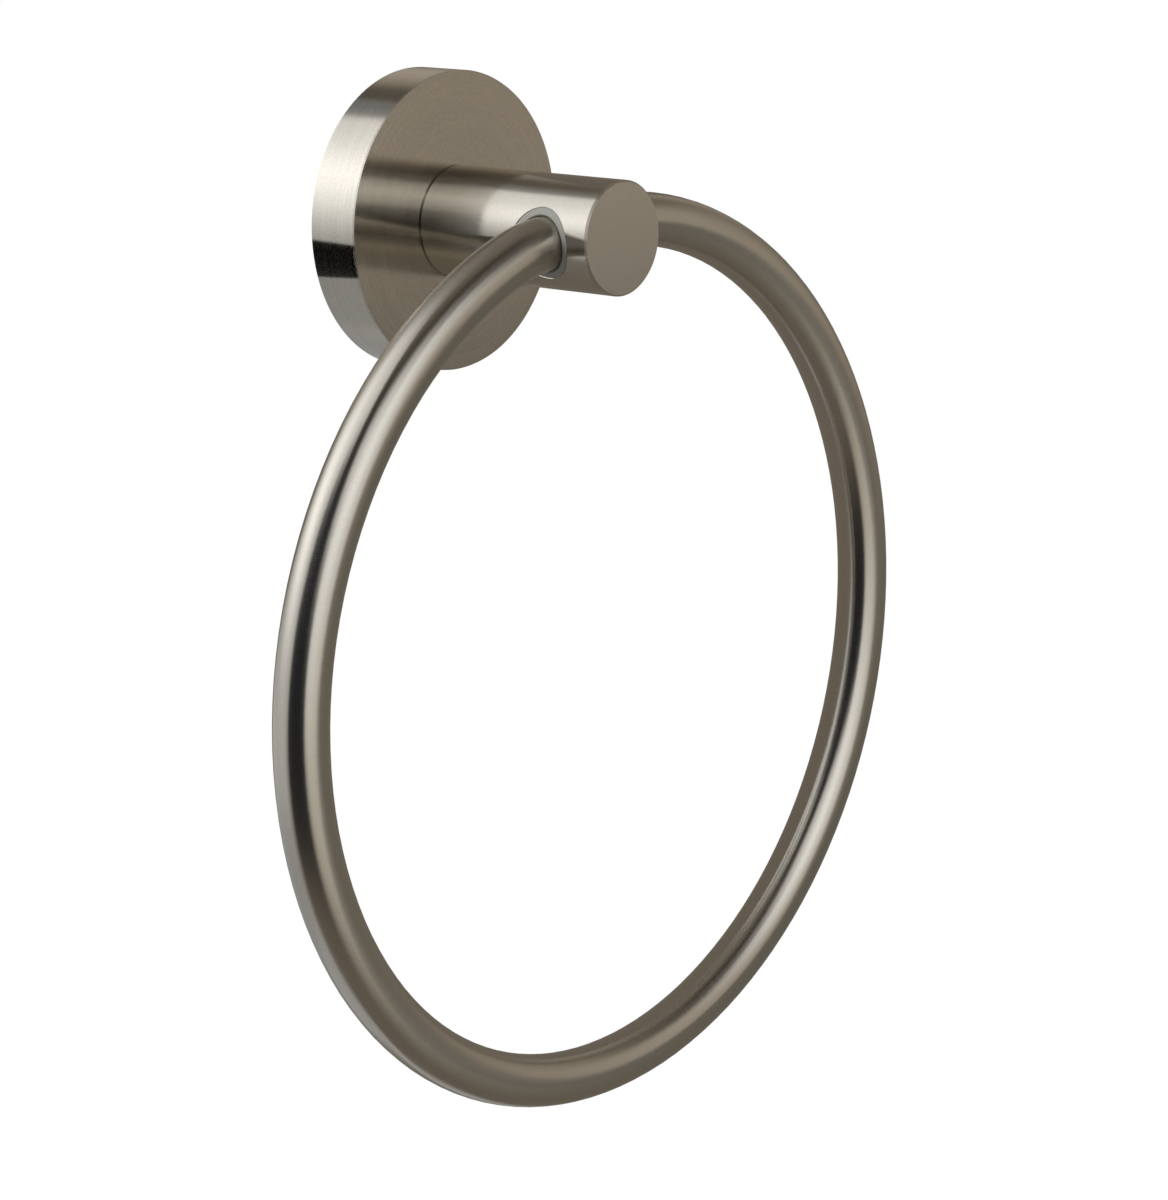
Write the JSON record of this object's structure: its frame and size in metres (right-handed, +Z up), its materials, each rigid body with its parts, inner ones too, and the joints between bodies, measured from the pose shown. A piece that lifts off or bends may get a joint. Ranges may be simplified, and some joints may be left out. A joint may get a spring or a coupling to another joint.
{
  "type": "towel ring",
  "caption": "Wall-mounted towel ring: a round cover and a short round post carry a free-swinging metal ring in plastic bushings.",
  "frame": {"origin": "on the wall plane, on the axis of the post, at the centre of the bracket's back face", "axes": "+Y into the wall along the post axis, -Y into the room, +Z up, +X to the right as seen from the room"},
  "size_m": [0.174, 0.051, 0.1959],
  "materials": {
    "turned_nickel": "brushed nickel plate, turned in circles",
    "brushed_nickel_post": "brushed nickel plate, brushed round the post",
    "brushed_nickel_ring": "brushed nickel plate, brushed round the rod",
    "grey_plastic": "moulded acetal, smooth",
    "zinc_plated_steel": "pressed steel sheet, zinc plated",
    "zinc_plated_washer": "stamped steel, zinc plated",
    "stainless_fastener": "stainless steel, as turned"
  },
  "bodies": {
    "wall_mount": {"wall_bracket": "zinc_plated_steel", "escutcheon": "turned_nickel", "escutcheon_set_screw": "stainless_fastener", "post": "brushed_nickel_post", "post_washer": "zinc_plated_washer", "post_screw": "stainless_fastener", "bushing_left": "grey_plastic", "bushing_right": "grey_plastic"},
    "towel_ring": {"ring": "brushed_nickel_ring"}
  },
  "joints": [
    {"name": "ring_swing", "type": "hinge", "parent": "wall_mount", "child": "towel_ring", "pos_m": [0, -0.04, 0], "axis": [-1, 0, 0], "range_deg": [-12, 192]}
  ]
}
